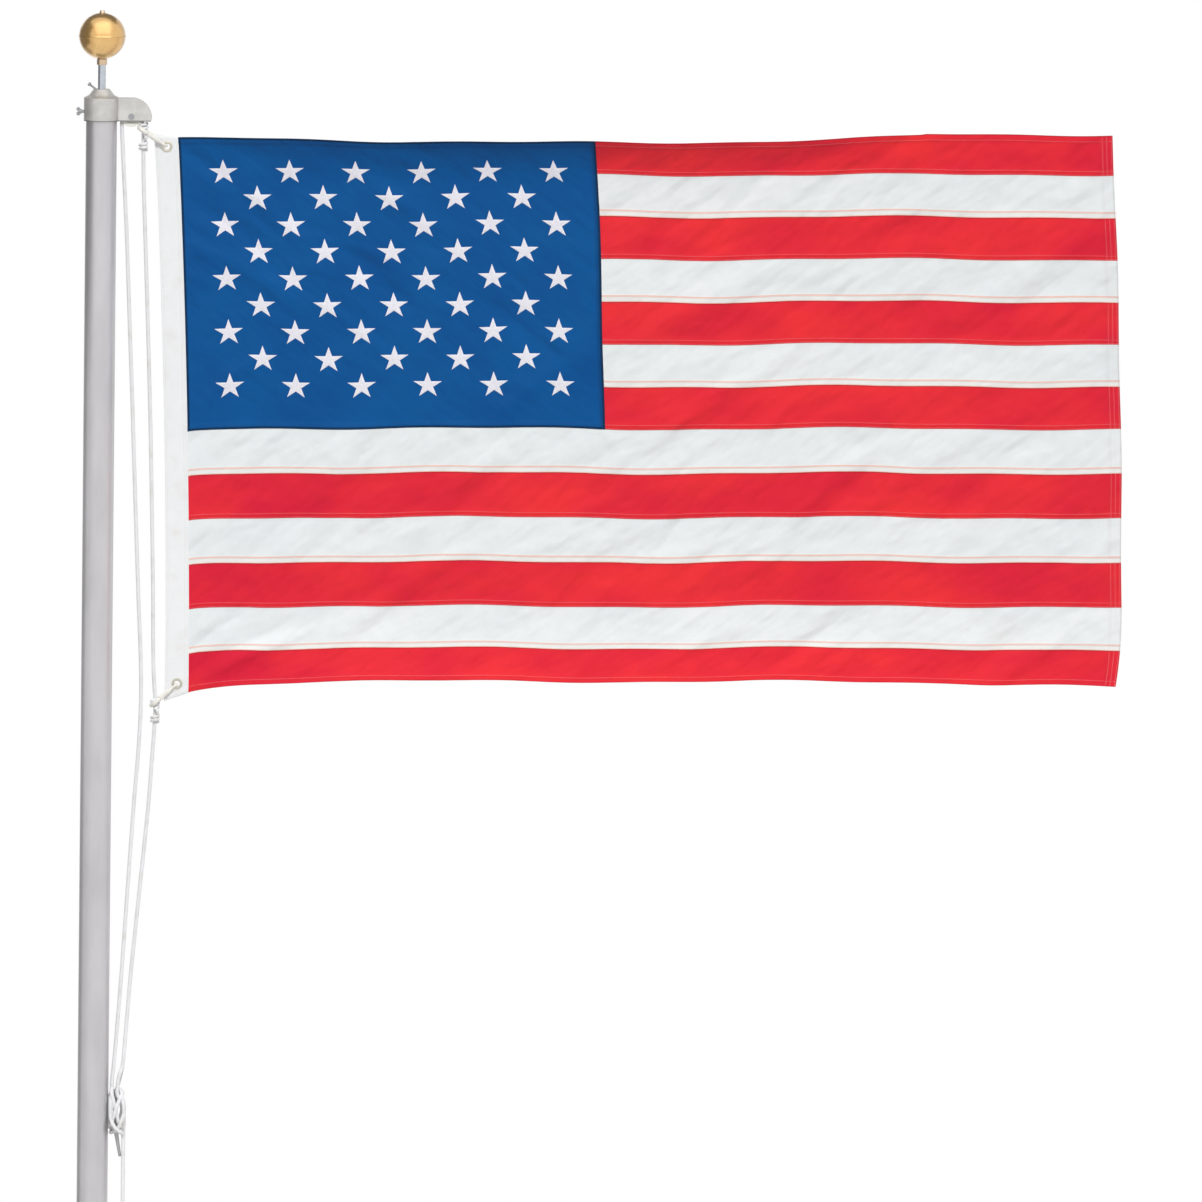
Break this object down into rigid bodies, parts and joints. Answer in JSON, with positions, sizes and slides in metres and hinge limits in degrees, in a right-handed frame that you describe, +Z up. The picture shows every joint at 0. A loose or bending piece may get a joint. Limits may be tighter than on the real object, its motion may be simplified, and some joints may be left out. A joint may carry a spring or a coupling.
{
  "type": "flagpole",
  "caption": "Sectional aluminium flagpole with cap truck and pulley, gold ball finial, rope halyard on a cleat, and a striped flag with a starred canton flying from two snap hooks.",
  "frame": {"origin": "centre of the pole's foot, on its flat underside at ground level", "axes": "+Z up the pole, +X from the pole towards the fly of the flag, Y across the flag, with -Y on the side that is seen with the flag flying to the right"},
  "size_m": [1.7206, 0.0856, 3.1911],
  "materials": {
    "pole_aluminium": "satin, drawn tube",
    "cast_aluminium": "warm grey, as cast and tumbled",
    "gold_aluminium": "polished, gold anodised",
    "steel": "bright, turned",
    "brass": "polished, slightly dulled",
    "sheave_plastic": "moulded, off white",
    "plug_plastic": "moulded, black",
    "rope": "braided, matt",
    "cleat_aluminium": "cast, tumbled",
    "snap_nylon": "moulded, ivory",
    "canvas": "woven, matt",
    "nylon_blue": "woven, slight sheen",
    "nylon_red": "woven, slight sheen",
    "nylon_white": "woven, slight sheen",
    "star_thread": "embroidered, satin thread"
  },
  "bodies": {
    "mast": {"base_plug": "plug_plastic", "pole_lower": "pole_aluminium", "joint_sleeve": "pole_aluminium", "pole_upper": "pole_aluminium", "truck": "cast_aluminium", "sheave_axle": "steel", "clamp_screw": "steel", "spindle_screw": "steel", "spindle": "steel", "ball_collar": "gold_aluminium", "ball_lower": "gold_aluminium", "ball_upper": "gold_aluminium", "ball_nut": "gold_aluminium", "cleat": "cleat_aluminium", "cleat_screws": "steel", "halyard_line": "rope", "halyard_turns": "rope", "halyard_bight": "rope", "knot_upper": "rope", "knot_lower": "rope", "snap_upper": "snap_nylon", "snap_lower": "snap_nylon", "gate_upper": "snap_nylon", "gate_lower": "snap_nylon", "heading": "canvas", "grommet_upper": "brass", "grommet_lower": "brass", "canton": "nylon_blue", "stars_front": "star_thread", "stars_back": "star_thread", "stripe_01": "nylon_red", "stripe_02": "nylon_white", "stripe_03": "nylon_red", "stripe_04": "nylon_white", "stripe_05": "nylon_red", "stripe_06": "nylon_white", "stripe_07": "nylon_red", "stripe_08": "nylon_white", "stripe_09": "nylon_red", "stripe_10": "nylon_white", "stripe_11": "nylon_red", "stripe_12": "nylon_white", "stripe_13": "nylon_red"},
    "sheave": {"sheave": "sheave_plastic"}
  },
  "joints": [
    {"name": "sheave_spin", "type": "hinge", "parent": "mast", "child": "sheave", "pos_m": [0.049, 0, 3.018], "axis": [0, 1, 0], "continuous": true}
  ]
}
